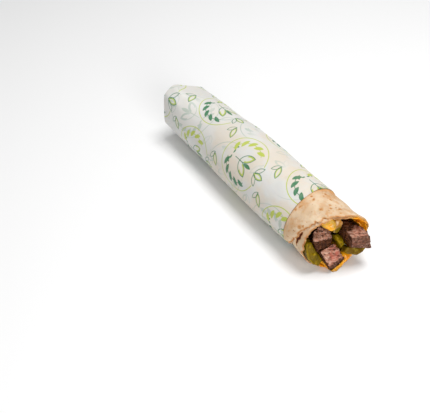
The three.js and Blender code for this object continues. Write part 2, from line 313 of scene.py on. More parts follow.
def bump(tree, surface, height, strength, distance):
    node = tree.nodes.new("ShaderNodeBump")
    feed(tree, node.inputs["Height"], height)
    node.inputs["Strength"].default_value = strength
    node.inputs["Distance"].default_value = distance
    tree.links.new(node.outputs["Normal"], surface.inputs["Normal"])


def setFinish(surface, roughness, specular, glow, depth):
    surface.inputs["Roughness"].default_value = roughness
    surface.inputs["Specular IOR Level"].default_value = specular
    surface.inputs["Subsurface Weight"].default_value = glow
    surface.inputs["Subsurface Radius"].default_value = (1.0, 0.55, 0.3)
    surface.inputs["Subsurface Scale"].default_value = depth * mm


# Camera.

camera = {
    "place": (0.27823, -0.22276, 0.3276),
    "aim": (-0.0046, -0.03578, 0.0021),
    "roll": -1.9,
    "lens": 53.63,
}


def addCamera():
    bpy.ops.object.camera_add(location=camera["place"])
    eye = bpy.context.object
    forward = Vector(camera["aim"]) - Vector(camera["place"])
    turn = forward.to_track_quat("-Z", "Y").to_matrix().to_4x4()
    tilt = Matrix.Rotation(math.radians(camera["roll"]), 4, "Z")
    eye.matrix_world = Matrix.Translation(camera["place"]) @ turn @ tilt
    eye.data.lens = camera["lens"]
    eye.data.clip_start = 0.01
    bpy.context.scene.camera = eye
    eye.select_set(False)


addCamera()
print("camera placed")


# Paper sleeve.

paper = {
    "columns": 256,
    "endRows": 36,
    "bodyRows": 120,
    "lapEdge": -72.0,
    "lapWidth": 24.0,
    "lapRise": 0.4,
    "thickness": 0.3,
    "endRounding": 1.3,
    "edgeSharpness": 20,  # of the folded end's edges
    "flapStep": 0.5,
    "uvLength": 100.0,  # mm of the sheet for each unit of its UV map
    "base": (0.68, 0.668, 0.64),
    "shade": (0.56, 0.555, 0.52),
    "blush": (0.71, 0.60, 0.47),
    "darkInk": (0.012, 0.17, 0.06),
    "limeInk": (0.44, 0.52, 0.045),
    "ghostInk": (0.36, 0.45, 0.38),
}


def paperRow(along):
    return along * (paper["endRows"] + paper["bodyRows"])


def paperX(row):
    share = max(0.0, row - paper["endRows"]) / paper["bodyRows"]
    return lerp(paper["endRounding"], roll["paperEnd"], share ** 1.12)


def paperAngle(across):
    return paper["lapEdge"] - paper["lapWidth"] + across * (360 + paper["lapWidth"])


# Which flap of the folded end shows at a place on it, from the top one under the rest to the lowest.
def endFlap(y, z):
    overTop = 2.5 + 0.05 * y - z
    lowerSide = lerp(18, 9.5, smooth(z, -20, 2.5)) - abs(y)
    lower = smooth(min(overTop, lowerSide), -0.3, 0.3)
    beside = smooth(abs(y) - 0.8 * max(0.0, z - 1.5), -0.3, 0.3)
    return lower, beside


def endRecess(y, z):
    lower, beside = endFlap(y, z)
    return lerp(lerp(2, 1, beside), 0, lower) * paper["flapStep"]


def paperShape(across, along):
    angle = paperAngle(across)
    lap = paper["lapWidth"] / (360 + paper["lapWidth"])
    rise = paper["lapRise"] * smooth(across, 1 - 1.6 * lap, 1 - lap)
    row = paperRow(along)
    if row <= paper["endRows"]:
        share = row / paper["endRows"]
        radius = share * (paperOuter(0, angle, paper["edgeSharpness"]) + rise)
        recess = endRecess(radius * math.sin(math.radians(angle)), radius * math.cos(math.radians(angle)))
        rounded = max(0.0, (share - 0.93) / 0.07) ** 2
        x = lerp(0.15 + recess * smooth(share, 0.985, 0.92), paper["endRounding"], rounded)
        return onRoll(x - 0.5 * rise * share * (1 - rounded), angle, radius)
    x = paperX(row)
    radius = paperOuter(x, angle, paper["edgeSharpness"]) + rise
    place = onRoll(x, angle, radius)
    near = math.exp(-x / 24)
    stretched = Vector((place.x * 0.3, place.y, place.z))
    push = 0.2 * lumps(place, 23, 3) + (0.12 + 0.4 * near) * lumps(stretched, 8, 8)
    fold = 1 - min(1.0, 4 * abs(lumps(Vector((place.x * 0.7, place.y, place.z * 1.2)), 26, 5)))
    push -= (0.16 + 0.35 * near) * fold ** 2
    if along == 1.0:
        x += 0.15 * math.sin(math.radians(3 * angle)) + 0.1 * math.sin(math.radians(8 * angle))
    return onRoll(x, angle, radius + max(push * smooth(x, 0.5, 7), -0.35))


# Flat place on the printed sheet in mm, for one corner of a face whose middle is given too.
def paperFlat(across, along, middleAcross, middleAlong):
    row, angle = paperRow(along), paperAngle(across)
    if paperRow(middleAlong) > paper["endRows"]:
        return paperX(row), math.radians(angle) * roll["paperRadius"]

    def onEnd(row, angle):
        radius = row / paper["endRows"] * paperOuter(0, angle, paper["edgeSharpness"])
        return radius * math.sin(math.radians(angle)), radius * math.cos(math.radians(angle))

    lower, beside = endFlap(*onEnd(paperRow(middleAlong), paperAngle(middleAcross)))
    y, z = onEnd(row, angle)
    if lower > 0.5:
        return z + 7, y + 9
    if beside > 0.5:
        return z * 0.6 - abs(y) * 0.8 + 80, abs(y) * 0.6 + z * 0.8 + 31
    return 40 - z, y + 66


def layFlat(piece):
    layer = piece.data.uv_layers.active.data
    for face in piece.data.polygons:
        corners = [Vector(layer[i].uv) for i in face.loop_indices]
        middle = sum(corners, Vector((0, 0))) / len(corners)
        for i, corner in zip(face.loop_indices, corners):
            x, y = paperFlat(corner.x, corner.y, middle.x, middle.y)
            layer[i].uv = (x / paper["uvLength"], y / paper["uvLength"])


def vectorPair(tree, x, y):
    node = tree.nodes.new("ShaderNodeCombineXYZ")
    feed(tree, node.inputs[0], x)
    feed(tree, node.inputs[1], y)
    return node.outputs[0]


def lengthOf(tree, x, y):
    node = tree.nodes.new("ShaderNodeVectorMath")
    node.operation = "LENGTH"
    tree.links.new(vectorPair(tree, x, y), node.inputs[0])
    return node.outputs["Value"]


# The value folded into -pitch/2 .. pitch/2.
def repeated(tree, value, pitch, phase=0.0):
    shifted = calc(tree, "ADD", value, pitch / 2 + phase)
    return calc(tree, "SUBTRACT", calc(tree, "FLOORED_MODULO", shifted, pitch), pitch / 2)


# Distance in mm to the edge of a pointed leaf, negative inside it.
def leafDistance(tree, x, y, centre, turn, half, width):
    c, s = math.cos(math.radians(turn)), math.sin(math.radians(turn))
    dx = calc(tree, "SUBTRACT", x, centre[0])
    dy = calc(tree, "SUBTRACT", y, centre[1])
    across = calc(tree, "MULTIPLY_ADD", dx, c, times(tree, dy, s))
    along = calc(tree, "MULTIPLY_ADD", dy, c, times(tree, dx, -s))
    offset = (half * half - width * width) / (2 * width)
    bulge = calc(tree, "ADD", calc(tree, "ABSOLUTE", across), offset)
    return calc(tree, "SUBTRACT", lengthOf(tree, bulge, along), offset + width)


def filled(tree, distance, grow=0.0, soft=0.18):
    return ramp(tree, times(tree, distance, -1), -grow - soft, -grow + soft)


def outlined(tree, distance, half, soft=0.18):
    return ramp(tree, times(tree, calc(tree, "ABSOLUTE", distance), -1), -half - soft, -half + soft)


def larger(tree, *masks):
    best = masks[0]
    for mask in masks[1:]:
        best = calc(tree, "MAXIMUM", best, mask)
    return best


# Rings, wreaths and sprigs on the flat sheet. In: x and y in mm, out: masks of the two inks.
def printGroup():
    tree = bpy.data.node_groups.new("wrapPrint", "ShaderNodeTree")
    for name, way in (("X", "INPUT"), ("Y", "INPUT"), ("Dark", "OUTPUT"), ("Lime", "OUTPUT")):
        tree.interface.new_socket(name, in_out=way, socket_type="NodeSocketFloat")
    inside = tree.nodes.new("NodeGroupInput")
    outside = tree.nodes.new("NodeGroupOutput")
    sheetX, sheetY = inside.outputs[0], inside.outputs[1]
    pitchX, pitchY = 54.0, 46.9
    column = calc(tree, "FLOOR", calc(tree, "DIVIDE", calc(tree, "ADD", sheetX, pitchX / 2), pitchX))
    odd = calc(tree, "FLOORED_MODULO", column, 2.0)
    x = repeated(tree, sheetX, pitchX)
    y = repeated(tree, calc(tree, "MULTIPLY_ADD", odd, pitchY / 2, sheetY), pitchY)
    radius = lengthOf(tree, x, y)
    side = calc(tree, "ABSOLUTE", y)
    turn = calc(tree, "ABSOLUTE", calc(tree, "ARCTAN2", y, x))

    ring = outlined(tree, calc(tree, "SUBTRACT", radius, 19.6), 0.3)
    ring = times(tree, ring, ramp(tree, turn, 0.36, 0.39))

    wreathRadius, leafStep = 14.4, 0.42
    folded = calc(tree, "SUBTRACT", calc(tree, "FLOORED_MODULO", turn, leafStep), leafStep / 2)
    offWreath = calc(tree, "SUBTRACT", radius, wreathRadius)
    wreathLeaf = leafDistance(tree, times(tree, folded, wreathRadius), offWreath, (0, 0), 48, 3.7, 1.5)
    stem = outlined(tree, offWreath, 0.25)
    span = times(tree, ramp(tree, turn, 0.82, 0.84), ramp(tree, times(tree, turn, -1), -2.95, -2.93))
    wreath = times(tree, larger(tree, filled(tree, wreathLeaf), stem), span)
    darkSide = ramp(tree, y, -0.1, 0.1)

    bud = leafDistance(tree, y, x, (0, 19.2), 0, 4.6, 2.0)
    budSide = leafDistance(tree, side, x, (3.6, 17.6), -52, 3.9, 1.5)
    sprout = leafDistance(tree, side, x, (3.7, 2.6), -34, 6.2, 2.7)
    midLeaf = leafDistance(tree, y, x, (0, 6.2), 0, 4.4, 1.6)
    lowHalf = ramp(tree, calc(tree, "ABSOLUTE", calc(tree, "ADD", x, 4.2)), 3.6, 3.4)
    stalk = times(tree, outlined(tree, y, 0.25), lowHalf)
    seedRow = leafDistance(tree, repeated(tree, side, 4.2, 2.1), x, (0, -11.2), 90, 1.5, 0.6)
    seeds = times(tree, filled(tree, seedRow), ramp(tree, times(tree, side, -1), -6.4, -6.2))

    smallX = repeated(tree, calc(tree, "ADD", sheetX, pitchX / 2), pitchX)
    smallY = repeated(tree, calc(tree, "ADD", sheetY, pitchY / 4), pitchY / 2)
    smallLeaf = leafDistance(tree, smallX, smallY, (1.6, 0.6), -28, 4.8, 2.0)
    smallTwin = leafDistance(tree, smallX, smallY, (-2.4, -1.2), 34, 3.6, 1.5)

    dark = larger(
        tree,
        times(tree, wreath, darkSide),
        outlined(tree, bud, 0.26),
        outlined(tree, budSide, 0.24),
        outlined(tree, sprout, 0.28),
        filled(tree, midLeaf, -0.3),
        outlined(tree, smallLeaf, 0.24),
        outlined(tree, smallTwin, 0.22),
        stalk,
        seeds,
    )
    lime = larger(
        tree,
        ring,
        times(tree, wreath, calc(tree, "SUBTRACT", 1.0, darkSide)),
        times(tree, outlined(tree, calc(tree, "ADD", sprout, 0.75), 0.5), ramp(tree, x, 1.0, 2.0)),
        outlined(tree, calc(tree, "ADD", bud, 0.65), 0.35),
        outlined(tree, calc(tree, "ADD", smallLeaf, 0.6), 0.3),
    )
    tree.links.new(dark, outside.inputs[0])
    tree.links.new(lime, outside.inputs[1])
    return tree


def paperMaterial():
    material, tree, surface = newMaterial("printedPaper")
    uv = tree.nodes.new("ShaderNodeUVMap")
    split = tree.nodes.new("ShaderNodeSeparateXYZ")
    tree.links.new(uv.outputs["UV"], split.inputs[0])
    sheetX = times(tree, split.outputs[0], paper["uvLength"])
    sheetY = times(tree, split.outputs[1], paper["uvLength"])
    art = printGroup()

    def inks(x, y):
        node = tree.nodes.new("ShaderNodeGroup")
        node.node_tree = art
        feed(tree, node.inputs[0], x)
        feed(tree, node.inputs[1], y)
        return node.outputs[0], node.outputs[1]

    place = objectPlace(tree)
    dark, lime = inks(calc(tree, "ADD", sheetX, 8.0), calc(tree, "ADD", sheetY, 30.0))
    underX = calc(tree, "MULTIPLY_ADD", sheetX, -0.97, 31.0)
    underY = calc(tree, "MULTIPLY_ADD", sheetX, 0.16, calc(tree, "ADD", sheetY, 27.0))
    underDark, underLime = inks(underX, underY)

    blush = ramp(tree, noiseValue(tree, place, 62, 3.0), 0.36, 0.62)
    reach = calc(tree, "MULTIPLY_ADD", ramp(tree, sheetX, 30, 90), 0.55, 0.12)
    colour = blend(tree, times(tree, blush, reach), paper["base"], paper["blush"])
    grey = ramp(tree, noiseValue(tree, place, 45, 3.0), 0.45, 0.75)
    colour = blend(tree, times(tree, grey, 0.3), colour, paper["shade"])
    patchy = ramp(tree, noiseValue(tree, place, 33, 1.0), 0.32, 0.6)
    ghost = times(tree, larger(tree, underDark, underLime), patchy)
    colour = blend(tree, times(tree, ghost, 0.65), colour, paper["ghostInk"])
    wear = calc(tree, "MULTIPLY_ADD", noiseValue(tree, place, 420, 2.0), 0.3, 0.75)
    colour = blend(tree, times(tree, lime, calc(tree, "MINIMUM", wear, 0.92)), colour, paper["limeInk"])
    colour = blend(tree, times(tree, dark, calc(tree, "MINIMUM", wear, 0.95)), colour, paper["darkInk"])
    tree.links.new(colour, surface.inputs["Base Color"])
    setFinish(surface, 0.5, 0.35, 0.1, 1.0)
    fibre = noiseValue(tree, place, 900, 3.0)
    pucker = noiseValue(tree, objectPlace(tree, 2.0), 110, 3.0, 0.6)
    bump(tree, surface, calc(tree, "MULTIPLY_ADD", pucker, 3.0, fibre), 0.3, 0.0004)
    return material


def buildPaper():
    piece = shapedGrid("paperSleeve", paper["columns"], paper["endRows"] + paper["bodyRows"], paperShape, {})
    layFlat(piece)
    recalculateNormals(piece)
    solid = piece.modifiers.new("thickness", "SOLIDIFY")
    solid.thickness = paper["thickness"] * mm
    solid.offset = -1
    applyModifiers(piece)
    finishPiece(piece, paperMaterial(), "printed_paper", "paper_sleeve", crease=50)


buildPaper()
print("paper sleeve rolled and printed")


# Flatbread: two closed walls, each along its outside to the rim, round the lip and back inside.

bread = {
    "columns": 288,
    "outsideRows": 62,
    "lipRows": 8,
    "insideRows": 34,
    "wall": 1.75,
    "lip": 1.0,
    "markRadius": 22.0,  # where on the wall the patterns are read
    "crackFrom": (171.6, 25.5),  # mm along the roll and round it
    "crackTo": (169.6, 38.0),
    "crackWidth": 1.0,
    # browned spots: mm along the roll, angle, size in mm
    "spots": [
        (163.4, -16, 1.1),
        (164.6, -9, 0.6),
        (163.6, 11, 1.1),
        (160.4, 9, 1.0),
        (172.8, 16, 1.4),
        (168.6, 59, 1.3),
        (171.2, 55, 0.9),
        (169.5, -12, 0.7),
        (173.5, -1, 0.8),
        (176.2, 4, 0.9),
        (161.0, 33, 1.2),
        (159.4, 42, 0.8),
        (183.0, -2, 0.8),
        (179.4, -8, 1.0),
        (167.2, -30, 0.8),
        (176.4, -20, 0.7),
        (165.3, -44, 0.9),
    ],
    "cream": (0.63, 0.45, 0.285),
    "pale": (0.73, 0.565, 0.39),
    "crumb": (0.58, 0.36, 0.175),
    "tan": (0.58, 0.29, 0.11),
    "toast": (0.36, 0.13, 0.04),
    "char": (0.075, 0.012, 0.001),
    "stain": (0.54, 0.30, 0.07),
    "soaked": (0.80, 0.31, 0.006),
}


def torn(angle, seed):
    around = Vector((math.cos(math.radians(angle)), math.sin(math.radians(angle)), seed))
    bite = smooth(noise.noise(around * 7 + Vector((9, 0, 0))), 0.22, 0.42)
    ragged = 0.9 * noise.noise(around * 4) + 0.75 * noise.noise(around * 11) + 0.45 * noise.noise(around * 24)
    return ragged - 0.8 * bite


def crackNear(x, angle):
    ax, ay = bread["crackFrom"]
    bx, by = bread["crackTo"]
    px, py = x, math.radians(angle) * roll["paperRadius"]
    length = math.hypot(bx - ax, by - ay)
    t = min(1.0, max(0.0, ((px - ax) * (bx - ax) + (py - ay) * (by - ay)) / length ** 2))
    bend = 0.5 * math.sin(t * 7) + 0.25 * math.sin(t * 19 + 1)
    width = bread["crackWidth"] * (0.55 + 0.6 * math.sin(math.pi * min(1.0, t + 0.1)))
    return math.exp(-(math.hypot(px - lerp(ax, bx, t) - bend, py - lerp(ay, by, t)) / width) ** 2)


def breadRows():
    return bread["outsideRows"] + bread["lipRows"] + bread["insideRows"] + 1


def breadStation(layer, across, along):
    angle = lerp(*layer["span"], across)
    row = along * breadRows()
    end = layer["edge"](angle) + torn(angle, layer["seed"])
    around = Vector((math.cos(math.radians(angle)), math.sin(math.radians(angle)), layer["seed"] + 5))
    lip = bread["lip"] * (0.9 + 0.5 * noise.noise(around * 7))
    last = end - lip / 2
    lipStart, lipEnd = bread["outsideRows"], bread["outsideRows"] + bread["lipRows"]

    def station(share):
        hidden = layer["hiddenShare"]
        share = max(0.0, share)
        if share < hidden:
            return lerp(layer["start"], layer["shown"], share / hidden)
        return lerp(layer["shown"], last, (share - hidden) / (1 - hidden))

    if row <= lipStart:
        return station(row / lipStart), angle, 0.0, end, 0.0
    if row <= lipEnd:
        turn = (row - lipStart) / bread["lipRows"] * math.pi
        return last + lip / 2 * math.sin(turn), angle, lip * (1 - math.cos(turn)) / 2, end, math.sin(turn)
    if row < breadRows() - 0.5:
        x = station(1 - (row - lipEnd) / bread["insideRows"])
        return x, angle, lerp(bread["wall"], lip, smooth(x, end - 7, end)), end, 0.0
    return layer["start"], angle, 0.0, end, 0.0


def breadShape(layer):
    arc = abs(layer["span"][1] - layer["span"][0]) * math.pi / 180 * roll["outerLayer"]

    def shape(across, along):
        x, angle, depth, end, lipShare = breadStation(layer, across, along)
        outer = layer["outer"](x, angle)
        place = onRoll(x, angle, outer)
        shown = smooth(x, roll["paperEnd"] + 0.4, roll["paperEnd"] + 3.5)
        seed = layer["seed"]
        outer += shown * (0.34 * lumps(place, 9, seed) + 0.16 * lumps(place, 3.4, seed + 1))
        outer += 0.55 * smooth(x, end - 5, end) * lumps(place, 6, seed + 2)
        facing = smooth(-angle, 0, 40) * smooth(angle, -150, -115)
        outer += lerp(-layer["hug"], layer["flare"], facing) * smooth(x, end - 6, end)
        if layer["cracked"] and depth == 0:
            depth += 0.75 * crackNear(x, angle)
        if layer["open"]:
            free = min(1.0, min(across, 1 - across) * arc / 2.0)
            full = bread["wall"] if lipShare == 0 else bread["lip"]
            depth = lerp(full, depth, math.sqrt(1 - (1 - free) ** 2))
        floor = roll["paperGap"] * (1 - swell(x, 0.5))
        return onRoll(x, angle, outer - depth, floor + 0.9 * depth)

    return shape


# Sauce has soaked the rim on the +Y side and underneath.
def soakMark(layer):
    def value(across, along):
        x, angle, depth, end = breadStation(layer, across, along)[:4]
        back = end - x + 1.6 * lumps(onRoll(x, angle, bread["markRadius"]), 3.5, 31)
        outside = depth < 0.6 * bread["lip"]
        if angle > 0:
            return smooth(angle, 143, 156) * smooth(3.5 if outside else 15.0, back - 1.4, back + 1.2)
        side = smooth(-angle, 0, 28)
        if outside:
            return layer["lipSoak"] * side * smooth(1.2 - back, -1.2, 1.2)
        return side * lerp(layer["lipSoak"], 1.0, smooth(back, 0.2, 2.2)) * smooth(15 - back, -1.2, 1.4)

    return value


# Browning along the paper's edge and the rim, and darkening in the crack: browning with painted shade in its
# fold.
def brownMark(layer):
    def value(across, along):
        x, angle, depth, end = breadStation(layer, across, along)[:4]
        top = smooth(angle, -75, -45) * smooth(angle, 125, 60)
        fromPaper = x - roll["paperEnd"] - 0.4
        patch = 0.75 + 0.6 * lumps(onRoll(x, angle, bread["markRadius"]), 7, 41)
        brown = 0.22 * math.exp(-(fromPaper / 0.9) ** 2) + 0.34 * math.exp(-max(0.0, fromPaper) / 5)
        brown *= top * patch
        if not layer["open"]:
            brown *= 0.4
        rimBrown = 0.56 + 0.4 * lumps(onRoll(x, angle, bread["markRadius"]), 2.6, 43)
        outside = 1 - 0.7 * smooth(depth, 0.3 * bread["lip"], 0.7 * bread["lip"])
        brown += rimBrown * math.exp(-((end - x) / 1.05) ** 2) * outside
        # the crack darkens toward char: painted shade in its fold over its browning
        if layer["cracked"] and depth < 0.2:
            brown += 2.0 * crackNear(x, angle) ** 1.5
        return min(1.0, max(0.0, brown))

    return value


# Where the bread is toasted more: near the paper and over the top.
def warmMark(layer):
    def value(across, along):
        x, angle = breadStation(layer, across, along)[:2]
        fromPaper = max(0.0, x - roll["paperEnd"])
        top = smooth(angle, -95, -60) * smooth(angle, 75, 10)
        right = 0.5 * smooth(angle, 0, -20) * smooth(angle, -80, -60)
        left = 0.35 * smooth(angle, 95, 60) * smooth(angle, -20, 30)
        return min(1.0, top * math.exp(-fromPaper / 9) + right + left)

    return value


def spotMark(layer):
    def value(across, along):
        x, angle, depth = breadStation(layer, across, along)[:3]
        if depth > 0.2:
            return 0.0
        place = onRoll(x, angle, bread["markRadius"])
        wander = 0.9 * lumps(place, 1.3, 61)
        nearest = 0.0
        for spotX, spotAngle, size in bread["spots"]:
            away = math.hypot(x - spotX, math.radians(angle - spotAngle) * roll["outerLayer"])
            nearest = max(nearest, math.exp(-((away + wander) / size) ** 2))
        return nearest

    return value


def lipMark(layer):
    return lambda across, along: breadStation(layer, across, along)[4]


def breadMaterial():
    material, tree, surface = newMaterial("flatbread")
    place = objectPlace(tree)
    dough = ramp(tree, noiseValue(tree, place, 90, 3.0), 0.36, 0.62)
    colour = blend(tree, dough, bread["cream"], bread["pale"])
    freckled = ramp(tree, noiseValue(tree, place, 70, 1.0), 0.38, 0.62)
    soft = ramp(tree, noiseValue(tree, place, 300, 2.0, 0.3), 0.56, 0.72)
    soft = times(tree, soft, calc(tree, "MULTIPLY_ADD", freckled, 0.5, 0.3))
    colour = blend(tree, soft, colour, bread["tan"])
    spots = ramp(tree, noiseValue(tree, place, 480, 2.0), 0.6, 0.72)
    colour = blend(tree, times(tree, spots, times(tree, freckled, 0.8)), colour, bread["tan"])
    dots = ramp(tree, noiseValue(tree, place, 540, 1.0), 0.69, 0.77)
    colour = blend(tree, times(tree, dots, 0.75), colour, bread["toast"])
    toasted = ramp(tree, noiseValue(tree, place, 135, 4.0, 0.4), 0.47, 0.66)
    warm = times(tree, toasted, calc(tree, "MULTIPLY_ADD", mark(tree, "warm"), 0.72, 0.14))
    colour = blend(tree, warm, colour, bread["tan"])
    colour = blend(tree, times(tree, mark(tree, "lip"), 0.4), colour, bread["crumb"])
    mottle = calc(tree, "MULTIPLY_ADD", noiseValue(tree, place, 700, 2.0), 1.2, 0.35)
    spot = times(tree, mark(tree, "spot"), mottle)
    colour = blend(tree, times(tree, ramp(tree, spot, 0.1, 0.55), 0.9), colour, bread["tan"])
    colour = blend(tree, times(tree, ramp(tree, spot, 0.5, 1.0), 0.8), colour, bread["toast"])
    brown = mark(tree, "brown")
    brown = times(tree, brown, calc(tree, "MULTIPLY_ADD", noiseValue(tree, place, 520, 2.0), 0.9, 0.55))
    colour = blend(tree, ramp(tree, brown, 0.0, 0.5), colour, bread["tan"])
    colour = blend(tree, ramp(tree, brown, 0.35, 0.8), colour, bread["toast"])
    colour = blend(tree, ramp(tree, brown, 0.75, 1.0), colour, bread["char"])
    uneven = calc(tree, "MULTIPLY_ADD", noiseValue(tree, place, 240, 3.0), 0.4, -0.2)
    soak = mark(tree, "soak")
    soak = times(tree, ramp(tree, soak, 0.0, 0.2), calc(tree, "ADD", soak, uneven))
    colour = blend(tree, ramp(tree, soak, 0.12, 0.4), colour, bread["stain"])
    colour = blend(tree, ramp(tree, soak, 0.5, 0.85), colour, bread["soaked"])
    tree.links.new(colour, surface.inputs["Base Color"])
    setFinish(surface, 0.75, 0.2, 0.1, 1.2)
    wet = ramp(tree, soak, 0.1, 0.9)
    tree.links.new(calc(tree, "MULTIPLY_ADD", wet, -0.45, 0.76), surface.inputs["Roughness"])
    fine = noiseValue(tree, place, 1100, 2.0)
    bump(tree, surface, calc(tree, "MULTIPLY_ADD", noiseValue(tree, place, 260, 4.0), 2.0, fine), 0.4, 0.0006)
    return material


breadLayers = [
    {
        "name": "flatbreadInner",
        "span": (180.0, -180.0),
        "start": 4.0,
        "shown": 156.0,
        "hiddenShare": 0.14,
        "outer": innerLayerOuter,
        "edge": rim,
        "seed": 11.0,
        "hug": 0.0,
        "flare": 0.75,
        "lipSoak": 0.9,
        "cracked": True,
        "open": False,
    },
    {
        "name": "flatbreadOuter",
        "span": (roll["outerLast"], roll["outerFade"][1]),
        "start": roll["paperEnd"] - 0.8,
        "shown": roll["paperEnd"] + 0.2,
        "hiddenShare": 0.05,
        "outer": outerLayerOuter,
        "edge": outerEdge,
        "seed": 21.0,
        "hug": 0.7,
        "flare": 0.0,
        "lipSoak": 0.3,
        "cracked": False,
        "open": True,
    },
]


def buildBread():
    walls = []
    for layer in breadLayers:
        marks = {
            "soak": soakMark(layer),
            "brown": brownMark(layer),
            "warm": warmMark(layer),
            "lip": lipMark(layer),
            "spot": spotMark(layer),
        }
        wall = shapedGrid(layer["name"], bread["columns"], breadRows(), breadShape(layer), marks)
        recalculateNormals(wall)
        walls.append(wall)
    joinInto(walls[0], walls[1])
    walls[0].name = "flatbreadRoll"
    walls[0].data.name = "flatbreadRoll"
    finishPiece(walls[0], breadMaterial(), "flatbread", "flatbread", crease=70)


buildBread()
print("flatbread rolled")


# Filling. Each piece starts from the solid it replaces.

filling = {
    # voxel size in mm and rounds of smoothing
    "meatMesh": (0.36, 14),
    "coreMesh": (0.5, 2),
    "sauceMesh": (0.36, 3),
    "cheeseMesh": (0.34, 30),
    "pickleMesh": (0.32, 8),
    # mm along the roll from where the core and the sauce are sculpted
    "coreShown": 160,
    "sauceShown": 163,
    "overlap": 0.3,  # of the sculpted front over the hidden rest
    "flesh": (0.46, 0.20, 0.13),
    "fleshLight": (0.70, 0.43, 0.32),
    "rare": (0.60, 0.125, 0.09),
    "crust": (0.050, 0.014, 0.0045),
    "crustLight": (0.15, 0.053, 0.02),
    "pickle": (0.17, 0.105, 0.001),
    "pickleLight": (0.40, 0.265, 0.008),
    "pickleSkin": (0.055, 0.042, 0.001),
    "pickleDark": (0.14, 0.075, 0.001),
    "pickleDarkLight": (0.27, 0.18, 0.012),
    "pickleBrown": (0.48, 0.22, 0.04),
    "pickleWhite": (0.72, 0.50, 0.28),
    "cheese": (0.61, 0.345, 0.036),
    "sauce": (0.96, 0.42, 0.01),
    "sauceDeep": (0.80, 0.26, 0.003),
    # painted shade: dull brown laid on the low end of the sauce drip, where it hangs near the floor
    "sauceDripShade": (0.29, 0.155, 0.022),
    # where the sauce swells: mm along the roll, across and above the floor; size and height
    "blobs": [((185.5, 7.0, 4.5), 4.2, 2.4), ((182.5, -9.8, 5.0), 4.0, 2.8)],
}


def copyOfNode(node, name):
    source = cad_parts[node]
    piece = source.copy()
    piece.data = source.data.copy()
    piece.name = name
    piece.data.name = name
    piece.parent = None
    bpy.context.collection.objects.link(piece)
    for key in list(piece.keys()):
        del piece[key]
    bpy.ops.object.select_all(action="DESELECT")
    piece.hide_render = False
    piece.select_set(True)
    recalculateNormals(piece)
    return piece


def remeshed(piece, voxel, softening):
    remesh = piece.modifiers.new("remesh", "REMESH")
    remesh.mode = "VOXEL"
    remesh.voxel_size = voxel * mm
    relax = piece.modifiers.new("relax", "SMOOTH")
    relax.factor = 0.5
    relax.iterations = softening
    applyModifiers(piece)
    return piece


# Cuts the piece at x, in mm along the roll, and keeps one side of it, closed.
def keepSide(piece, x, front):
    bpy.context.view_layer.objects.active = piece
    piece.select_set(True)
    bpy.ops.object.mode_set(mode="EDIT")
    bpy.ops.mesh.select_all(action="SELECT")
    bpy.ops.mesh.bisect(
        plane_co=(foldX + x * mm, 0, 0),
        plane_no=(1, 0, 0),
        clear_inner=front,
        clear_outer=not front,
        use_fill=True,
    )
    bpy.ops.object.mode_set(mode="OBJECT")


# The shown front of a long filling is remeshed and sculpted, its hidden rest stays as it is.
def frontRemeshed(node, name, split, voxel, softening, push):
    front = copyOfNode(node, name)
    keepSide(front, split - filling["overlap"], True)
    remeshed(front, voxel, softening)
    sculpt(front, push)
    rest = copyOfNode(node, name + "Rest")
    keepSide(rest, split, False)
    joinInto(front, rest)
    return front


beefChunks = {
    # cuts: direction of each sliced face and how pale it is; shadeAndCrustUntil: mm along the roll before
    # which the sliced faces darken, partly crust and partly painted shade under the bread's roof;
    # crustBelow: mm above the floor; stretch: how much longer than wide the fibres are
    "beef_lower": {
        "cuts": [((0.87, 0.16, 0.47), 1.0)],
        "shadeAndCrustUntil": (170, 176),
        "crustBelow": (6.0, 8.2),
        "grain": (-0.06, -0.9, 0.42),
        "stretch": 3.6,
        "rare": 0.8,
        "seed": 3.0,
    },
    "beef_right": {
        "cuts": [((0.1, -0.05, 1.0), 0.56), ((1.0, -0.1, -0.1), 0.33)],
        "shadeAndCrustUntil": (185.5, 190),
        "crustBelow": (-9, -8),
        "grain": (0.5, 0.8, -0.15),
        "stretch": 3.6,
        "rare": 0.35,
        "seed": 13.0,
    },
    "beef_upper": {
        "cuts": [((0.35, -0.2, 1.0), 0.74), ((1.0, -0.2, -0.2), 0.02)],
        "shadeAndCrustUntil": (168, 172),
        "crustBelow": (-9, -8),
        "grain": (0.8, 0.5, 0.1),
        "stretch": 2.2,
        "rare": 0.0,
        "seed": 23.0,
    },
}


# How pale the meat is at a vertex: sliced faces are, the roasted outside isn't. Further back in the roll the
# sliced faces are painted darker: partly crust, partly painted shade under the bread's roof.
def beefTone(chunk):
    directions = [(Vector(facing).normalized(), pale) for facing, pale in chunk["cuts"]]

    def tone(vertex):
        x = (vertex.co.x - foldX) / mm + 2.5 * lumps(vertex.co, 3, 52)
        best = max(pale * smooth(vertex.normal.dot(facing), 0.5, 0.82) for facing, pale in directions)
        above = smooth(vertex.co.z / mm + 1.5 * lumps(vertex.co, 2.2, 51), *chunk["crustBelow"])
        # crust below crustBelow; deeper in the roll, crust colour and painted shade where the bread's roof
        # shades the meat
        return best * lerp(0.22, 1.0, above) * lerp(0.12, 1.0, smooth(x, *chunk["shadeAndCrustUntil"]))

    return tone


def beefPush(chunk, tone):
    along = Vector(chunk["grain"]).normalized()
    seed = chunk["seed"]

    def push(vertex):
        place = vertex.co
        pale = tone(vertex)
        fibre = strands(place, along, 1.4, seed + 2)
        groove = smooth(fibre, 0.05, 0.38)
        pit = smooth(lumps(place, 1.9, seed + 3), 0.18, 0.42)
        rough = 0.85 * lumps(place, 5.5, seed) + 0.5 * lumps(place, 2.4, seed + 1)
        bubble = 0.55 * lumps(place, 1.5, seed + 4)
        return rough + lerp(bubble, 0.12 - 0.6 * groove, min(1.0, pale * 1.6)) - lerp(0.75, 0.35, pale) * pit

    return push


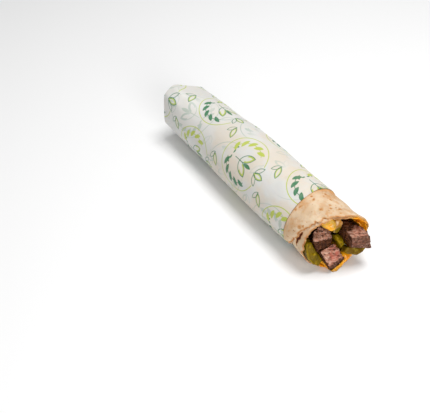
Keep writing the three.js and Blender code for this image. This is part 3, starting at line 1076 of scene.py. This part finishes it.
def beefMaterial(name, along, stretch):
    material, tree, surface = newMaterial(name)
    place = objectPlace(tree)
    grain = objectPlace(tree, stretch, Vector(along).to_track_quat("X", "Z").to_euler())
    fibres = noiseValue(tree, grain, 1000, 3.0, 0.15)
    coarse = noiseValue(tree, grain, 820, 3.0, 0.15)
    flesh = blend(tree, ramp(tree, fibres, 0.38, 0.66), filling["flesh"], filling["fleshLight"])
    flesh = blend(tree, times(tree, mark(tree, "rare"), 0.75), flesh, filling["rare"])
    patches = ramp(tree, noiseValue(tree, place, 380, 1.0), 0.34, 0.5)
    gap = times(tree, ramp(tree, coarse, 0.53, 0.63), patches)
    flesh = blend(tree, times(tree, gap, 0.75), flesh, filling["crust"])
    dark = ramp(tree, noiseValue(tree, place, 560, 4.0), 0.42, 0.72)
    roast = blend(tree, dark, filling["crust"], filling["crustLight"])
    patchy = calc(tree, "MULTIPLY_ADD", noiseValue(tree, place, 480, 3.0), 0.5, -0.25)
    cut = ramp(tree, calc(tree, "ADD", mark(tree, "cut"), patchy), 0.1, 0.8)
    tree.links.new(blend(tree, cut, roast, flesh), surface.inputs["Base Color"])
    setFinish(surface, 0.4, 0.1, 0.05, 1.2)
    tree.links.new(calc(tree, "MULTIPLY_ADD", cut, 0.22, 0.2), surface.inputs["Roughness"])
    height = calc(tree, "MULTIPLY_ADD", fibres, 1.6, times(tree, noiseValue(tree, place, 800, 4.0), 1.0))
    bump(tree, surface, calc(tree, "MULTIPLY_ADD", gap, -0.5, height), 0.9, 0.0008)
    return material


def plainName(node):
    words = node.split("_")
    return words[0] + words[1].capitalize()


def buildBeef():
    for node, chunk in beefChunks.items():
        piece = remeshed(copyOfNode(node, plainName(node)), *filling["meatMesh"])
        low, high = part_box(node)
        middle = (Vector(low) + Vector(high)) / 2
        tone = beefTone(chunk)

        def rare(vertex):
            away = (vertex.co - middle).length / mm + 3 * lumps(vertex.co, 3, 61)
            return chunk["rare"] * smooth(away, 9.5, 4.5)

        paintMark(piece, "cut", tone)
        paintMark(piece, "rare", rare)
        sculpt(piece, beefPush(chunk, tone))
        material = beefMaterial(plainName(node), chunk["grain"], chunk["stretch"])
        finishPiece(piece, material, "roast_beef", node)


def buildCore():
    def push(vertex):
        place = vertex.co
        rough = 1.6 * lumps(place, 5, 71) + 0.8 * lumps(place, 2.2, 72) + 0.3 * lumps(place, 1.1, 73)
        return (rough - 0.4) * smooth(vertex.normal.x, 0.1, 0.7) - 0.2

    core = frontRemeshed("beef_filling", "beefFilling", filling["coreShown"], *filling["coreMesh"], push)
    # no pale cut faces on the core: it takes the roast's dark crust colours all over, which also stand as
    # painted shade in the gaps between the chunks
    paintMark(core, "cut", lambda vertex: 0.0)
    paintMark(core, "rare", lambda vertex: 0.0)
    finishPiece(core, beefMaterial("darkBeef", (0.3, 0.2, 1), 3.0), "dark_beef", "beef_filling")


def sauceMaterial(name, light, deep):
    material, tree, surface = newMaterial(name)
    place = objectPlace(tree)
    colour = blend(tree, ramp(tree, noiseValue(tree, place, 170, 3.0), 0.38, 0.7), light, deep)
    colour = blend(tree, times(tree, mark(tree, "thin"), 0.85), colour, bread["soaked"])
    # painted shade: the drip's low end darkened toward brown
    colour = blend(tree, times(tree, mark(tree, "drip"), 0.85), colour, filling["sauceDripShade"])
    tree.links.new(colour, surface.inputs["Base Color"])
    setFinish(surface, 0.14, 0.4, 0.1, 1.5)
    bump(tree, surface, noiseValue(tree, place, 260, 2.0), 0.25, 0.0008)
    return material


def buildSauce():
    def push(vertex):
        x, angle = rollPlace(vertex.co)[:2]
        inwards = -(onRoll(x, angle, 1) - onRoll(x, angle, 0)).normalized()
        swollen = 0.0
        for (alongRoll, across, above), size, height in filling["blobs"]:
            spot = Vector((foldX + alongRoll * mm, axisY + across * mm, above * mm))
            swollen += height * math.exp(-((vertex.co - spot).length / mm / size) ** 2)
        swollen *= smooth(vertex.normal.dot(inwards), 0.0, 0.5)
        return swollen + 0.4 * lumps(vertex.co, 4, 81) + 0.16 * lumps(vertex.co, 1.6, 82) - 0.05

    # Where the sauce hangs low past the mouth: the place of the painted shade on its drip.
    def dripping(vertex):
        return smooth(vertex.co.z / mm, 3.5, 0.5) * smooth(rollPlace(vertex.co)[0], 186, 190)

    material = sauceMaterial("cheeseSauce", filling["sauce"], filling["sauceDeep"])
    sauce = frontRemeshed("cheese_sauce", "cheeseSauce", filling["sauceShown"], *filling["sauceMesh"], push)
    paintMark(sauce, "drip", dripping)
    paintMark(sauce, "thin", lambda vertex: smooth(vertex.co.z / mm, 10, 20))
    finishPiece(sauce, material, "cheese_sauce", "cheese_sauce")
    top = remeshed(copyOfNode("cheese_top", "cheeseTop"), *filling["cheeseMesh"])
    sculpt(top, lambda vertex: 0.45 + 0.9 * lumps(vertex.co, 3.5, 83))
    material = sauceMaterial("cheeseDrop", filling["cheese"], filling["sauce"])
    finishPiece(top, material, "cheese_sauce", "cheese_top")


def pickleMaterial(name, flesh, light, skin):
    material, tree, surface = newMaterial(name)
    place = objectPlace(tree)
    blotch = noiseValue(tree, place, 260, 3.0, 0.4)
    colour = blend(tree, ramp(tree, blotch, 0.46, 0.72), flesh, light)
    streaks = ramp(tree, noiseValue(tree, place, 190, 2.0), 0.48, 0.66)
    colour = blend(tree, times(tree, streaks, 0.5), colour, skin)
    colour = blend(tree, mark(tree, "olive"), colour, filling["pickle"])
    colour = blend(tree, times(tree, mark(tree, "skin"), 0.85), colour, skin)
    # painted sheen: the sides facing ±Y are lifted toward the light colour
    colour = blend(tree, times(tree, mark(tree, "edge"), 0.55), colour, light)
    tree.links.new(colour, surface.inputs["Base Color"])
    setFinish(surface, 0.18, 0.1, 0.1, 1.2)
    bump(tree, surface, calc(tree, "ADD", blotch, noiseValue(tree, place, 520, 3.0)), 0.35, 0.0006)
    return material


def buildPickles():
    # Sides that face ±Y and a little out of the mouth: where the painted sheen along the slices' edges goes.
    def edge(vertex):
        return smooth(abs(vertex.normal.y), 0.45, 0.9) * smooth(vertex.normal.x, 0, 0.3)

    skin = filling["pickleSkin"]
    green = pickleMaterial("pickle", filling["pickle"], filling["pickleLight"], skin)
    dark = pickleMaterial("pickleDark", filling["pickleDark"], filling["pickleDarkLight"], skin)
    brown = pickleMaterial("pickleBrown", filling["pickleBrown"], filling["pickleWhite"], skin)
    looks = {"pickle_left": green, "pickle_strip": green, "pickle_right": dark, "pickle_top": brown}
    for node, look in looks.items():
        piece = remeshed(copyOfNode(node, plainName(node)), *filling["pickleMesh"])
        paintMark(piece, "skin", lambda vertex: smooth(-vertex.normal.x, -0.25, 0.5))
        paintMark(piece, "edge", edge)
        paintMark(piece, "olive", lambda vertex: smooth(vertex.co.z / mm, 32, 29) if look is brown else 0.0)
        sculpt(piece, lambda vertex: 0.1 + 0.6 * lumps(vertex.co, 3.4, 91) + 0.25 * lumps(vertex.co, 1.5, 92))
        if node == "pickle_left":
            sculpt(piece, lambda vertex: 0.7 * smooth(-vertex.normal.y, 0.2, 0.7))
        finishPiece(piece, look, "pickle", node)


buildBeef()
buildCore()
buildSauce()
buildPickles()
print("filling placed")


# Floor and light.

stage = {
    "floor": (0.88, 0.88, 0.88),
    "floorSize": 6,
    "sky": 0.34,
    "key": {"place": (0.05, 0.18, 0.97), "aim": (0, 0, 0.02), "size": 0.4, "power": 7.2},
    "fill": {"place": (0.9, -0.24, 0.44), "aim": (0, 0, 0.02), "size": 0.5, "power": 5.0},
}


def addLight(name, settings):
    bpy.ops.object.light_add(type="AREA", location=settings["place"])
    lamp = bpy.context.object
    lamp.name = name
    lamp.data.size = settings["size"]
    lamp.data.energy = settings["power"]
    aim = Vector(settings["aim"]) - Vector(settings["place"])
    lamp.rotation_euler = aim.to_track_quat("-Z", "Y").to_euler()
    lamp.select_set(False)


def buildStage():
    bpy.ops.mesh.primitive_plane_add(size=stage["floorSize"], location=(0, 0, 0))
    floor = bpy.context.object
    floor.name = "floor"
    material, _, surface = newMaterial("paleFloor")
    surface.inputs["Base Color"].default_value = (*stage["floor"], 1)
    surface.inputs["Roughness"].default_value = 0.6
    floor.data.materials.append(material)
    world = bpy.data.worlds.new("softStudio")
    world.use_nodes = True
    background = world.node_tree.nodes["Background"]
    background.inputs["Color"].default_value = (1, 1, 1, 1)
    background.inputs["Strength"].default_value = stage["sky"]
    bpy.context.scene.world = world
    bpy.context.scene.view_settings.view_transform = "Standard"
    addLight("keyLight", stage["key"])
    addLight("fillLight", stage["fill"])


buildStage()
print("floor and lights set")
